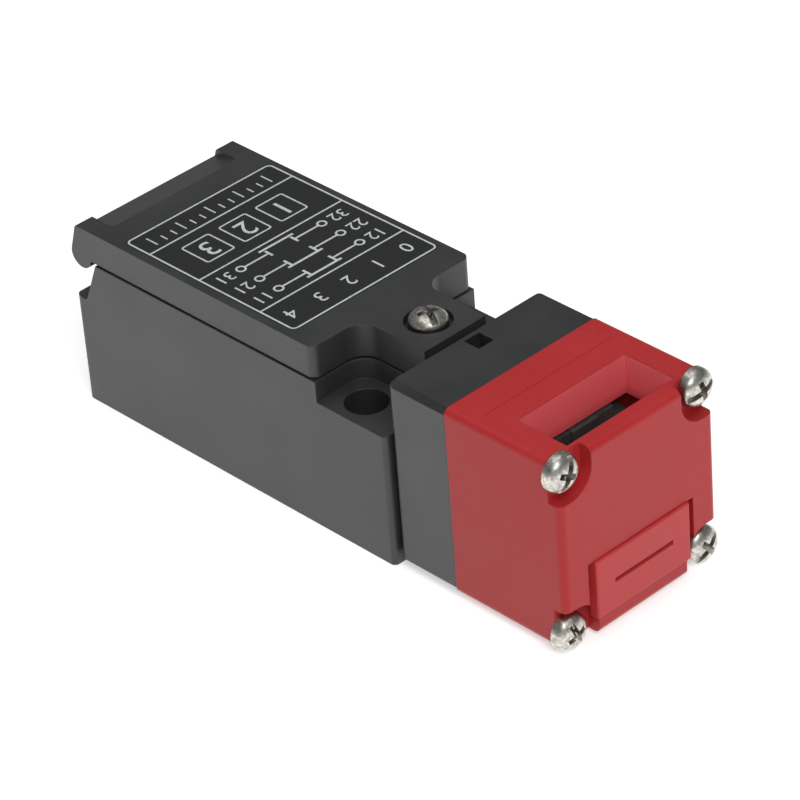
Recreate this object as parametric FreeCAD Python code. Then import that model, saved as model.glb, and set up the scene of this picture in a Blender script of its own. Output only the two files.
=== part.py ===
import FreeCAD, Part
import math
import os
from FreeCAD import Vector

# A narrow door interlock switch, worked by a separate key (tongue). Millimetres.
# X runs across the body, Y along it from the key head (-Y) to the cable entry (+Y),
# and Z stands out of the mounting face, which is at Z = 0. The origin is in the middle
# of the length and the width, on the mounting face.

# --- Driving dimensions ---------------------------------------------------------------

# Whole switch
overall_length = 95.2      # from the face of the plug to the cable end
body_width = 30.0
body_height = 29.4
running_gap = 0.3          # between parts that move past each other
fit_gap = 0.08             # radial gap of pins and guided rods
seat_gap = 0.05            # between a moulded recess and what lies in it

# Key head and its base
head_length = 20.5
head_width = 28.8
head_height = 29.5
head_lift = 0.7            # the head stays clear of the mounting surface
head_edge_radius = 1.0
base_length = 10.9
base_corner_radius = 1.5
base_bevel = 0.9
joint_gap = 0.3            # base to case, taken up by the seal

# Key slots: a funnel on top, and a second one in the end face
slot_width = 19.9
slot_height = 8.8
slot_setback = 2.7         # end face to the funnel
slot_depth = 4.7
slot_lip = 0.5             # ledge at the bottom of the funnel
end_slot_height = 9.3
end_slot_top = 17.6        # below the top of the head
end_slot_lip = 1.6
end_slot_inset = 0.9       # above and below the end slot's mouth
end_wall = 1.9

# Plug in the end slot
plug_width = 17.7
plug_gap = 0.1
plug_rise = 0.4            # stands proud of the end face
plug_plate_depth = 1.1
plug_edge_radius = 0.25
plug_groove_length = 11.0
plug_groove_width = 0.7
plug_groove_depth = 0.8

# Cam and pin
cam_setback = 12.4         # end face to the cam's axis
cam_radius = 7.6           # dwell: the plunger is held in
cam_stroke = 2.5           # plunger travel
cam_turn = 50.0            # degrees turned by the key
cam_front_radius = 4.9
cam_low_start = 3.0        # degrees from the lobe's end to the low side
cam_low_end = -105.0       # directions round the axis, in degrees from the plunger
cam_front_start = -110.0
cam_front_end = -250.0
cam_dwell_start = -262.0
cam_width = 11.4
cam_strip_width = 4.9      # middle strip that carries the lobe and the driving tabs
cam_shoulder_step = 0.4    # wide shoulders of the cam, below its dwell radius
cam_shoulder_drop = 0.6    # how far the shoulders reach below the axis
tab_rise = 0.3             # middle tab above the rest of its tooth, for each unit of its step
tooth_height = 9.75
tooth_front = 2.7
tooth_thickness = 1.0
tooth_neck = 8.4
tooth_back_length = 2.6
tab_step = 0.5
cam_pin_radius = 1.5
cam_pin_half = 12.1        # half the pin's length
chamber_width = 19.2
chamber_height_above = 9.15
chamber_height_below = 10.25

# Plunger and its spring
plunger_radius = 2.0
plunger_tip_radius = 0.6
flange_radius = 4.1
flange_thickness = 1.2
flange_setback = 3.7       # tip to the front of the flange
well_radius = 4.8
well_depth = 8.4
plunger_overhang = 2.4     # how far the rod's end stands inside the case
spring_wire_radius = 0.3
spring_side_gap = 0.8      # spring to the rod or bore beside it
seal_radius = 3.4
seal_depth = 1.5

# Long head screws (M3) and base screws (M2.5)
head_screw_side = 1.8      # head's side to the screws' centres
head_screw_end = 2.15      # head's top and underside to the same
head_screw_radius = 1.45
head_screw_head_radius = 2.8
head_screw_head_height = 2.3
head_screw_length = 25.0
shank_clearance = 0.2      # radial, in the part that the screw passes through
notch_size = 6.0           # from the head's side to the inner wall of the notch
notch_depth = 2.1
notch_corner_radius = 3.9
base_screw_x = 7.6
base_screw_below = 9.75    # below and above the plunger's axis
base_screw_above = 2.55
base_screw_radius = 1.2
base_screw_head_radius = 2.3
base_screw_head_height = 1.7
base_screw_length = 11.0
base_screw_sink = 4.0
seal_ring_width = 23.0
seal_ring_below = 12.45    # reach of the ring below the plunger's axis
seal_ring_above = 4.95
seal_ring_section = 1.1
seal_groove_depth = 0.8
latch_hole_size = 2.8
latch_hole_setback = 3.0
latch_hole_depth = 3.0
finger_inset = 0.7         # chamber wall to the finger that holds the cam pin
finger_end_gap = 0.2

# Case
case_wall = 2.0
case_floor = 2.5
case_end_wall = 7.6        # carries the cable entry thread
case_corner_radius = 0.8
case_front_block = 14.6    # solid block that carries the mounting holes
screw_end_gap = 0.5        # under the tip of a screw in its blind hole
pocket_floor = 20.9
pocket_length = 13.1
neck_width = 11.8
neck_corner_radius = 3.0
mount_pitch = 21.0
mount_radius = 2.15
mount_setback = 8.1        # case front to the mounting holes
mount_bore_radius = 3.1    # upper part of each hole, cored out wider
mount_guide_length = 4.0   # lower part, which guides the screw
entry_radius = 9.6         # M20 x 1.5, at about its pitch diameter
entry_height = 11.3
entry_wall = 1.2
groove_floor = 17.2
groove_ledge = 17.5
groove_depth_low = 2.2
groove_depth_high = 5.1
top_end_wall = 2.5         # end wall above the entry

# Cover
cover_depth = 5.0
cover_wall = 2.0
cover_side_gap = 0.15      # the cover is this much narrower than the case on each side
cover_front_gap = 1.5      # base to the cover's neck
cover_corner_radius = 1.2
split_gap = 0.3
lip_radius = 2.05
lip_slope = 1.4
lip_angle = 8.0            # degrees above level where the round lip meets the end face
end_recess_width = 23.6
end_recess_length = 4.6
end_recess_depth = 1.15    # at the top of the lip's slope
edge_radius = 0.5
hinge_x = 7.5
hinge_arm_width = 3.0
hinge_stub_radius = 0.9
hinge_stub_length = 1.5
hinge_arm_root = 1.2       # arm's root inside the top of the end wall
hinge_lift = 0.3           # hinge axis above the split
gasket_width = 0.9
gasket_height = 1.2
rim_depth = 1.5
rim_thickness = 1.2
seal_squeeze = 0.1         # case top to the underside of the seal

# Cover screw (M3.5) and its insert
cover_screw_setback = 6.3  # case front to the screw
cover_screw_radius = 1.4
cover_screw_head_radius = 2.8
cover_screw_head_height = 2.1
cover_screw_sink_radius = 3.4
cover_screw_sink_depth = 1.2
cover_screw_grip = 4.0     # length held by the insert
insert_radius = 2.5
insert_bore_radius = 1.75
insert_length = 4.6
screw_seal_thickness = 0.6

# Contact block
block_side_gap = 0.4       # case wall to the block
block_length = 27.4
block_rise = 1.2           # top of the block above the slider
block_wall = 1.8
contact_pitch = 8.4
first_contact = 5.0        # block front to the first contact plane
slider_side_gap = 1.0      # slider to the contact tips beside it
slider_below = 5.85        # underside of the slider, below the plunger's axis
slider_above = 2.35
slider_end_bar = 0.8
slider_pin_radius = 1.4    # pin inside the return spring
slider_pin_length = 1.2
contact_drop = 1.65        # middle of the contacts, below the plunger's axis
contact_spring_length = 1.8
spring_bore_radius = 2.9
spring_housing = 3.6
spring_housing_wall = 1.2
spring_housing_drop = 4.2  # below the slider's axis
bridge_slot_front = 3.6
bridge_slot_back = 3.9
rib_thickness = 1.0        # ribs on the case floor that carry the block
rib_inset = 2.5
lid_side_overlap = 2.5     # lid past the slider's channel side
lid_thickness = 1.0
terminal_screw_depth = 6.0
block_ear_inset = 3.2      # block side to the ear's screw
ear_screw_radius = 1.1
ear_screw_head_radius = 1.8
ear_screw_head_height = 1.3
ear_screw_grip = 1.0
nose_radius = 2.3
bridge_end = 1.3           # bridge past the middle of its tip
bridge_height = 2.6
bridge_thickness = 0.6
tip_size = 2.0
tip_height = 0.4
tip_inset = 4.0            # terminal screw to the contact tip
contact_gap = 0.2          # closed contacts, drawn just clear
terminal_inset = 3.0       # block side to the terminal screw
plate_thickness = 0.8
plate_length = 6.2
barrier_height = 3.4
barrier_thickness = 1.2
terminal_screw_radius = 1.5
terminal_head_radius = 2.7
terminal_head_height = 1.8
washer_size = 5.6
washer_thickness = 0.8
ear_length = 4.6
ear_height = 3.0
ear_width = 5.8
bridge_spring_radius = 0.95
bridge_spring_wire = 0.15

# --- Places worked out from the sizes -------------------------------------------------

head_front = plug_rise - overall_length / 2
seam = head_front + head_length
base_back = seam + base_length
case_front = base_back + joint_gap
case_back = overall_length / 2
axis_z = head_lift + head_height / 2
head_top = head_lift + head_height
cam_y = head_front + cam_setback
cover_bottom = body_height - cover_depth
case_top = cover_bottom - split_gap
pocket_back = case_front + pocket_length
room_front = case_front + case_front_block
room_back = case_back - case_end_wall
room_top_back = case_back - groove_depth_high - top_end_wall
block_front = room_front + running_gap
block_back = block_front + block_length
block_bottom = case_floor + running_gap
block_width = body_width - 2 * (case_wall + block_side_gap)
block_ear_x = block_width / 2 - block_ear_inset
terminal_x = block_width / 2 - terminal_inset
tip_x = terminal_x - tip_inset
bridge_length = 2 * (tip_x + bridge_end)
slider_width = 2 * (tip_x - tip_size / 2 - slider_side_gap)
lid_half = slider_width / 2 + lid_side_overlap
slider_bottom = axis_z - slider_below
slider_top = axis_z + slider_above
contact_z = axis_z - contact_drop
block_top = slider_top + block_rise
hinge_y = case_back - lip_radius
hinge_z = cover_bottom + hinge_lift
cover_screw_y = case_front + cover_screw_setback
mount_y = case_front + mount_setback
plunger_tip = cam_y + cam_radius + running_gap
well_floor = seam + well_depth
contact_planes = [block_front + first_contact + i * contact_pitch for i in range(3)]
ear_screw_y = block_back + ear_length / 2
slider_spring_end = block_back + spring_housing - spring_housing_wall
corner_signs = [(-1, 1), (1, 1), (-1, -1), (1, -1)]


# --- Shared shapes --------------------------------------------------------------------

def box(x_range, y_range, z_range):
    """Block between three pairs of faces."""
    size = [pair[1] - pair[0] for pair in (x_range, y_range, z_range)]
    return Part.makeBox(*size, Vector(x_range[0], y_range[0], z_range[0]))


def rod(start, end, radius):
    """Round bar from one point to another."""
    start, end = Vector(*start), Vector(*end)
    return Part.makeCylinder(radius, (end - start).Length, start, end - start)


def small_rod(start, end, radius, flats=8):
    """Small round bar or hole that is out of sight, drawn with flats that touch its radius."""
    start, end = Vector(*start), Vector(*end)
    step = 2 * math.pi / flats
    corner = radius / math.cos(step / 2)
    angles = [(i + 0.5) * step for i in range(flats)]
    ring = [Vector(corner * math.cos(angle), corner * math.sin(angle), 0) for angle in angles]
    bar = Part.Face(Part.makePolygon(ring + ring[:1])).extrude(Vector(0, 0, (end - start).Length))
    bar.Placement = FreeCAD.Placement(start, FreeCAD.Rotation(Vector(0, 0, 1), end - start))
    return bar


def extrude_x(points, half_width):
    """Prism across X from an outline of (y, z) points."""
    corners = [Vector(-half_width, y, z) for y, z in points]
    face = Part.Face(Part.makePolygon(corners + corners[:1]))
    return face.extrude(Vector(2 * half_width, 0, 0))


def line_edge(start, end):
    return Part.LineSegment(start, end).toShape()


def edges_along(shape, axis, test):
    """Straight edges that run along an axis and whose middle passes a test."""
    found = []
    for edge in shape.Edges:
        if not isinstance(edge.Curve, Part.Line):
            continue
        direction = edge.tangentAt(edge.FirstParameter)
        if abs(getattr(direction, axis)) > 0.99 and test(edge.CenterOfMass):
            found.append(edge)
    return found


def cap_screw(head_radius, head_height, shank_radius, shank_length):
    """Screw with its seat at the origin and its head towards +Z."""
    head = rod((0, 0, 0), (0, 0, head_height), head_radius)
    return head.fuse(small_rod((0, 0, -shank_length), (0, 0, 0), shank_radius))


def hidden_screw(head_radius, head_height, shank_radius, shank_length):
    """The same for a screw inside the switch, with a head of sixteen flats."""
    head = small_rod((0, 0, 0), (0, 0, head_height), head_radius, 16)
    return head.fuse(small_rod((0, 0, -shank_length), (0, 0, 0), shank_radius))


def facing_front(shape, x, y, z):
    """Turn a screw drawn along +Z so that its head faces -Y, and put it in its place."""
    turned = shape.copy()
    turned.rotate(Vector(0, 0, 0), Vector(1, 0, 0), 90)
    turned.translate(Vector(x, y, z))
    return turned


def placed(shape, x, y, z):
    moved = shape.copy()
    moved.translate(Vector(x, y, z))
    return moved


def coil_spring(mean_radius, wire_radius, start_y, end_y, turns, z):
    """Compression spring along Y between two seats, drawn with eight facets to a turn."""
    facets = 8
    low, high = start_y + wire_radius, end_y - wire_radius
    steps = round(turns * facets)
    rings = []
    for i in range(steps + 1):
        angle = 2 * math.pi * i / facets
        y = low + (high - low) * i / steps
        ring = []
        for radial, axial in ((-1, -1), (1, -1), (1, 1), (-1, 1)):
            radius = mean_radius + radial * wire_radius
            across, up = radius * math.cos(angle), radius * math.sin(angle)
            ring.append(Vector(across, y + axial * wire_radius, z + up))
        rings.append(ring)
    outlines = [rings[0], rings[-1]]
    for near, far in zip(rings, rings[1:]):
        for i in range(4):
            j = (i + 1) % 4
            outlines += [[near[i], near[j], far[j]], [near[i], far[j], far[i]]]
    faces = [Part.Face(Part.makePolygon(outline + outline[:1])) for outline in outlines]
    spring = Part.Solid(Part.Shell(faces))
    if spring.Volume < 0:
        spring.reverse()
    return spring


def head_screw_places():
    """Centres of the four long screws, as (x, z)."""
    half_x = head_width / 2 - head_screw_side
    half_z = head_height / 2 - head_screw_end
    return [(sx * half_x, axis_z + sz * half_z) for sx, sz in corner_signs]


def base_screw_places():
    """Two screws on a diagonal, as (x, z)."""
    return [(-base_screw_x, axis_z + base_screw_above), (base_screw_x, axis_z - base_screw_below)]


def pocket_cutters(floor, top, gap):
    """Two corner blocks beside the neck, rounded where they meet it."""
    half_neck = neck_width / 2 - gap
    outside = body_width
    cutters = []
    for side in (-1, 1):
        x_range = sorted((side * half_neck, side * outside))
        block = box(x_range, (case_front - 10, pocket_back + gap), (floor, top))
        inner = edges_along(block, "z", lambda c: abs(c.x) < body_width / 2 and c.y > case_front)
        cutters.append(block.makeFillet(neck_corner_radius, inner))
    return cutters


# --- Key head -------------------------------------------------------------------------

def make_head_housing():
    """Red head: a shell open at the back, with two key slots and four screw corners."""
    half = head_width / 2
    body = box((-half, half), (head_front, seam), (head_lift, head_top))
    outer = edges_along(body, "y", lambda c: True)
    outer += edges_along(body, "x", lambda c: c.y < head_front + 1)
    outer += edges_along(body, "z", lambda c: c.y < head_front + 1)
    body = body.makeFillet(head_edge_radius, outer)

    # Corner notches, each rounded about its screw
    for sx, sz in corner_signs:
        inner_x = half - notch_size
        inner_z = head_height / 2 - notch_size - 0.3
        x_range = sorted((sx * inner_x, sx * (half + 5)))
        z_range = sorted((axis_z + sz * inner_z, axis_z + sz * (head_height / 2 + 5)))
        notch = box(x_range, (head_front - 5, head_front + notch_depth), z_range)
        corner = edges_along(notch, "y",
                             lambda c: abs(c.x) < half and abs(c.z - axis_z) < head_height / 2)
        body = body.cut(notch.makeFillet(notch_corner_radius, corner))
    for x, z in head_screw_places():
        body = body.cut(small_rod((x, head_front, z), (x, seam + 1, z),
                                  head_screw_radius + shank_clearance))

    # Chamber for the cam
    chamber_floor = axis_z - chamber_height_below
    chamber_top = axis_z + chamber_height_above
    chamber = box((-chamber_width / 2, chamber_width / 2), (head_front + end_wall, seam + 1),
                  (chamber_floor, chamber_top))
    body = body.cut(chamber)

    # Top slot: funnel, then a narrower mouth
    slot_front = head_front + slot_setback
    funnel = box((-slot_width / 2, slot_width / 2), (slot_front, slot_front + slot_height),
                 (head_top - slot_depth, head_top + 1))
    mouth = box((-slot_width / 2 + slot_lip, slot_width / 2 - slot_lip),
                (slot_front + slot_lip, slot_front + slot_height - slot_lip),
                (chamber_top - 1, head_top))
    body = body.cut(funnel).cut(mouth)

    # End slot, stepped for the plug's plate
    end_top = head_top - end_slot_top
    end_bottom = end_top - end_slot_height
    recess_floor = head_front + plug_plate_depth + seat_gap
    recess = box((-slot_width / 2, slot_width / 2), (head_front - 1, recess_floor),
                 (end_bottom, end_top))
    mouth = box((-slot_width / 2 + end_slot_lip, slot_width / 2 - end_slot_lip),
                (head_front, head_front + end_wall + 1),
                (end_bottom + end_slot_inset, end_top - end_slot_inset))
    body = body.cut(recess).cut(mouth)

    # Side slots that take the cam pin from the back
    pin_slot = cam_pin_radius + seat_gap
    for side in (-1, 1):
        x_range = sorted((side * (chamber_width / 2 - 0.1), side * (cam_pin_half + seat_gap)))
        groove = box(x_range, (cam_y, seam + 1), (axis_z - pin_slot, axis_z + pin_slot))
        groove = groove.fuse(rod((x_range[0], cam_y, axis_z), (x_range[1], cam_y, axis_z), pin_slot))
        body = body.cut(groove)
    return body


def make_slot_plug():
    """Red plug that closes the end slot, with a driver groove across its face."""
    middle = head_top - end_slot_top - end_slot_height / 2
    half_w, half_h = plug_width / 2, end_slot_height / 2 - plug_gap
    face_y = head_front - plug_rise
    plate = box((-half_w, half_w), (face_y, head_front + plug_plate_depth),
                (middle - half_h, middle + half_h))
    rim = edges_along(plate, "x", lambda c: c.y < head_front)
    rim += edges_along(plate, "z", lambda c: c.y < head_front)
    plate = plate.makeFillet(plug_edge_radius, rim)
    neck_half_w = slot_width / 2 - end_slot_lip - plug_gap
    neck_half_h = end_slot_height / 2 - end_slot_inset - plug_gap
    neck = box((-neck_half_w, neck_half_w), (head_front + 0.5, head_front + end_wall + 0.1),
               (middle - neck_half_h, middle + neck_half_h))
    groove = box((-plug_groove_length / 2, plug_groove_length / 2), (face_y - 1, face_y + plug_groove_depth),
                 (middle - plug_groove_width / 2, middle + plug_groove_width / 2))
    return plate.fuse(neck).cut(groove)


def make_head_screws():
    screw = cap_screw(head_screw_head_radius, head_screw_head_height,
                      head_screw_radius, head_screw_length)
    y = head_front + notch_depth
    return Part.makeCompound([facing_front(screw, x, y, z) for x, z in head_screw_places()])


# --- Cam ------------------------------------------------------------------------------

def lobe_points(steps):
    """Lobe that lowers the plunger in proportion to the turn.

    The middle of the round plunger tip runs in along a spiral as seen from the cam, and
    the lobe keeps one gap inside that path.
    """
    reach = plunger_radius + running_gap
    turn = math.radians(cam_turn)
    slope = cam_stroke / turn
    points = []
    for i in range(steps + 1):
        angle = -turn * i / steps
        radius = cam_radius + reach + slope * angle
        norm = math.hypot(radius, slope)
        radial = radius - reach * radius / norm
        along = reach * slope / norm
        points.append(Vector(0, radial * math.cos(angle) - along * math.sin(angle),
                             radial * math.sin(angle) + along * math.cos(angle)))
    return points


def polar(radius, degrees):
    return Vector(0, radius * math.cos(math.radians(degrees)), radius * math.sin(math.radians(degrees)))


def arc_edge(radius, start, end):
    middle = polar(radius, (start + end) / 2)
    return Part.Arc(polar(radius, start), middle, polar(radius, end)).toShape()


def cam_disc():
    """Middle strip of the cam as a flat face: lobe, low side, cut-back front and dwell."""
    lobe = lobe_points(8)
    first, last = lobe[0], lobe[-1]
    first_angle = math.degrees(math.atan2(first.z, first.y))
    last_angle = math.degrees(math.atan2(last.z, last.y))
    low_radius = cam_radius - cam_stroke
    low_start = last_angle - cam_low_start
    curve = Part.BSplineCurve()
    curve.interpolate(lobe)
    edges = [
        curve.toShape(),
        line_edge(last, polar(low_radius, low_start)),
        arc_edge(low_radius, low_start, cam_low_end),
        line_edge(polar(low_radius, cam_low_end), polar(cam_front_radius, cam_front_start)),
        arc_edge(cam_front_radius, cam_front_start, cam_front_end),
        line_edge(polar(cam_front_radius, cam_front_end), polar(first.Length, cam_dwell_start)),
        arc_edge(first.Length, cam_dwell_start, first_angle - 360),
    ]
    return Part.Face(Part.Wire(edges))


def tooth(extra, half_width):
    """Driving tooth for the top slot, with a sloping back down to the hub."""
    front = -tooth_front - extra
    back = -tooth_front + tooth_thickness
    top = tooth_height + tab_rise * extra
    hub_back = back + tooth_back_length
    outline = [(front, cam_pin_radius), (front, top), (back, top), (back, tooth_neck),
               (hub_back, 0.8 * cam_radius), (hub_back, cam_pin_radius)]
    return extrude_x(outline, half_width)


def make_operating_cam():
    """Black cam with one tooth for each slot and the lobe that drives the plunger."""
    half, strip = cam_width / 2, cam_strip_width / 2
    lobe = cam_disc().extrude(Vector(2 * strip, 0, 0))
    lobe.translate(Vector(-strip, 0, 0))
    shoulders = rod((-half, 0, 0), (half, 0, 0), cam_radius - cam_shoulder_step)
    keep = box((-half, half), (-tooth_front, cam_radius), (-cam_shoulder_drop, cam_radius))
    cam = lobe.fuse(shoulders.common(keep))
    for quarter in (0, 90):
        for part in (tooth(0, half), tooth(tab_step, strip)):
            part.rotate(Vector(0, 0, 0), Vector(1, 0, 0), quarter)
            cam = cam.fuse(part)
    cam = cam.cut(rod((-half - 1, 0, 0), (half + 1, 0, 0), cam_pin_radius + fit_gap)).removeSplitter()
    cam.translate(Vector(0, cam_y, axis_z))
    return cam


def make_cam_pin():
    return rod((-cam_pin_half, cam_y, axis_z), (cam_pin_half, cam_y, axis_z), cam_pin_radius)


# --- Plunger and head base ------------------------------------------------------------

def make_head_plunger():
    """Rod with a tapered tip against the cam and a flange for its spring."""
    end = case_front + plunger_overhang
    stem = rod((0, plunger_tip + plunger_radius, axis_z), (0, end, axis_z), plunger_radius)
    tip = Part.makeCone(plunger_tip_radius, plunger_radius, plunger_radius,
                        Vector(0, plunger_tip, axis_z), Vector(0, 1, 0))
    front = plunger_tip + flange_setback
    flange = small_rod((0, front, axis_z), (0, front + flange_thickness, axis_z), flange_radius, 16)
    return stem.fuse(tip).fuse(flange).removeSplitter()


def make_plunger_spring():
    front = plunger_tip + flange_setback + flange_thickness
    radius = plunger_radius + spring_side_gap + spring_wire_radius
    return coil_spring(radius, spring_wire_radius, front, well_floor, 3.0, axis_z)


def make_plunger_seal():
    """Rubber ring round the plunger, in a recess in the back of the base."""
    outer = rod((0, base_back - seal_depth, axis_z), (0, base_back, axis_z), seal_radius)
    return outer.cut(rod((0, base_back - 5, axis_z), (0, base_back + 1, axis_z), plunger_radius + fit_gap))


def make_head_base():
    """Black block between the case and the head: spring well, screw holes, pin fingers."""
    half = head_width / 2
    base = box((-half, half), (seam, base_back), (head_lift, head_top))
    upright = edges_along(base, "z", lambda c: c.y > base_back - 0.1)
    base = base.makeFillet(base_corner_radius, upright)
    base = base.makeChamfer(base_bevel, edges_along(base, "y", lambda c: True))

    base = base.cut(rod((0, seam - 1, axis_z), (0, well_floor, axis_z), well_radius))
    base = base.cut(rod((0, well_floor - 1, axis_z), (0, base_back + 1, axis_z), plunger_radius + fit_gap))
    base = base.cut(rod((0, base_back - seal_depth, axis_z), (0, base_back + 1, axis_z),
                        seal_radius + seat_gap))
    for x, z in head_screw_places():
        tip = head_front + notch_depth + head_screw_length
        base = base.cut(small_rod((x, seam - 1, z), (x, tip + screw_end_gap, z),
                                  head_screw_radius + seat_gap))
    for x, z in base_screw_places():
        sink_end = seam + base_screw_sink
        base = base.cut(small_rod((x, seam - 1, z), (x, sink_end, z),
                                  base_screw_head_radius + shank_clearance, 16))
        base = base.cut(small_rod((x, seam, z), (x, base_back + 1, z),
                                  base_screw_radius + shank_clearance))

    # Square latch hole on top
    hole = latch_hole_size / 2
    middle = base_back - latch_hole_setback
    base = base.cut(box((-hole, hole), (middle - hole, middle + hole),
                        (head_top - latch_hole_depth, head_top + 1)))

    # Groove for the seal against the case
    base = base.cut(base_seal_ring(base_back - seal_groove_depth, base_back + 1, seat_gap))

    # Two fingers that reach into the head and hold the cam pin
    for side in (-1, 1):
        x_range = sorted((side * (chamber_width / 2 + finger_inset), side * (cam_pin_half - finger_end_gap)))
        finger = box(x_range, (cam_y + cam_pin_radius + fit_gap, seam + 1),
                     (axis_z - cam_pin_radius + fit_gap, axis_z + cam_pin_radius - fit_gap))
        base = base.fuse(finger)
    return base


def base_seal_ring(start, end, gap):
    """Rectangular ring between the base and the case, rounded at its corners."""
    half_outer = seal_ring_width / 2
    low, high = axis_z - seal_ring_below, axis_z + seal_ring_above
    outer = box((-half_outer - gap, half_outer + gap), (start, end), (low - gap, high + gap))
    inner_cut = seal_ring_section + gap
    inner = box((-half_outer + inner_cut, half_outer - inner_cut), (start - 1, end + 1),
                (low + inner_cut, high - inner_cut))
    outer = outer.makeFillet(1.6, edges_along(outer, "y", lambda c: True))
    inner = inner.makeFillet(0.7, edges_along(inner, "y", lambda c: True))
    return outer.cut(inner)


def make_base_seal():
    return base_seal_ring(base_back - seal_groove_depth, case_front, 0)


def make_base_screws():
    screw = hidden_screw(base_screw_head_radius, base_screw_head_height,
                         base_screw_radius, base_screw_length)
    y = seam + base_screw_sink
    return Part.makeCompound([facing_front(screw, x, y, z) for x, z in base_screw_places()])


# --- Case -----------------------------------------------------------------------------

def end_groove():
    """Hollow under the cover's lip: a ledge, a rounded bottom and a sloping wall."""
    wall_top = case_back - groove_depth_high
    wall_foot = case_back - groove_depth_low
    cutter = extrude_x([(wall_top, case_top + 1), (wall_top, case_top), (wall_foot, groove_floor),
                        (case_back + 5, groove_ledge + 1.0), (case_back + 5, case_top + 1)],
                       body_width)
    foot = edges_along(cutter, "x", lambda c: abs(c.y - wall_foot) < 0.1)
    cutter = cutter.makeFillet(1.0, foot)
    boss = rod((0, wall_top - 1, entry_height), (0, case_back + 5, entry_height), entry_radius + entry_wall)
    return cutter.cut(boss)


def make_case():
    """Black case: mounting block at the head end, open room, threaded cable entry."""
    half = body_width / 2
    case = box((-half, half), (case_front, case_back), (0, case_top))
    case = case.makeFillet(case_corner_radius, edges_along(case, "z", lambda c: True))
    for pocket in pocket_cutters(pocket_floor, case_top + 1, 0):
        case = case.cut(pocket)
    case = case.cut(end_groove())

    # Room for the contact block and the wiring
    inner = half - case_wall
    lower_room = box((-inner, inner), (room_front, room_back), (case_floor, groove_floor))
    upper_room = box((-inner, inner), (room_front, room_top_back), (groove_floor - 1, case_top + 1))
    room = lower_room.fuse(upper_room).removeSplitter()
    case = case.cut(room)

    # Mounting holes, cored out wider above the part that guides the screw
    for side in (-1, 1):
        x = side * mount_pitch / 2
        case = case.cut(rod((x, mount_y, -1), (x, mount_y, pocket_floor), mount_radius))
        case = case.cut(rod((x, mount_y, mount_guide_length), (x, mount_y, pocket_floor + 1),
                            mount_bore_radius))

    # Bore for the plunger and the slider's nose
    case = case.cut(rod((0, case_front - 1, axis_z), (0, room_front + 1, axis_z), nose_radius + fit_gap))
    for x, z in base_screw_places():
        tip = seam + base_screw_sink + base_screw_length
        case = case.cut(small_rod((x, case_front - 1, z), (x, tip + screw_end_gap, z),
                                  base_screw_radius + seat_gap))
    case = case.cut(rod((0, cover_screw_y, case_top - insert_length), (0, cover_screw_y, case_top + 1),
                        insert_radius + seat_gap))

    # Cable entry
    case = case.cut(rod((0, room_back, entry_height), (0, case_back + 1, entry_height), entry_radius))
    for x in (-block_ear_x, block_ear_x):
        bottom = case_floor - ear_screw_grip - 0.2
        case = case.cut(small_rod((x, ear_screw_y, bottom), (x, ear_screw_y, case_floor + 1),
                                  ear_screw_radius + seat_gap))

    # Ribs under the contact block, and the arms that the cover swings on
    for y in (block_front + rib_inset, block_back - rib_inset):
        y_range = (y - rib_thickness / 2, y + rib_thickness / 2)
        case = case.fuse(box((-inner, inner), y_range, (case_floor - 0.5, block_bottom)))
    for side in (-1, 1):
        case = case.fuse(hinge_arm(side * hinge_x))
    return case


def hinge_arm(x):
    """Arm on the end wall that reaches into the cover's lip, with a stub on each side."""
    half = hinge_arm_width / 2
    radius = hinge_stub_radius
    root = case_back - groove_depth_high - hinge_arm_root
    bar = box((x - half, x + half), (root, hinge_y), (hinge_z - radius, hinge_z + radius))
    foot = box((x - half, x + half), (root, case_back - groove_depth_high), (case_top - 1, hinge_z))
    reach = half + hinge_stub_length
    return bar.fuse(foot).fuse(rod((x - reach, hinge_y, hinge_z), (x + reach, hinge_y, hinge_z), radius))


def make_threaded_insert():
    """Brass insert for the cover screw."""
    low = case_top - insert_length
    insert = rod((0, cover_screw_y, low), (0, cover_screw_y, case_top), insert_radius)
    return insert.cut(rod((0, cover_screw_y, low - 1), (0, cover_screw_y, case_top + 1), insert_bore_radius))


# --- Cover ----------------------------------------------------------------------------

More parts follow.
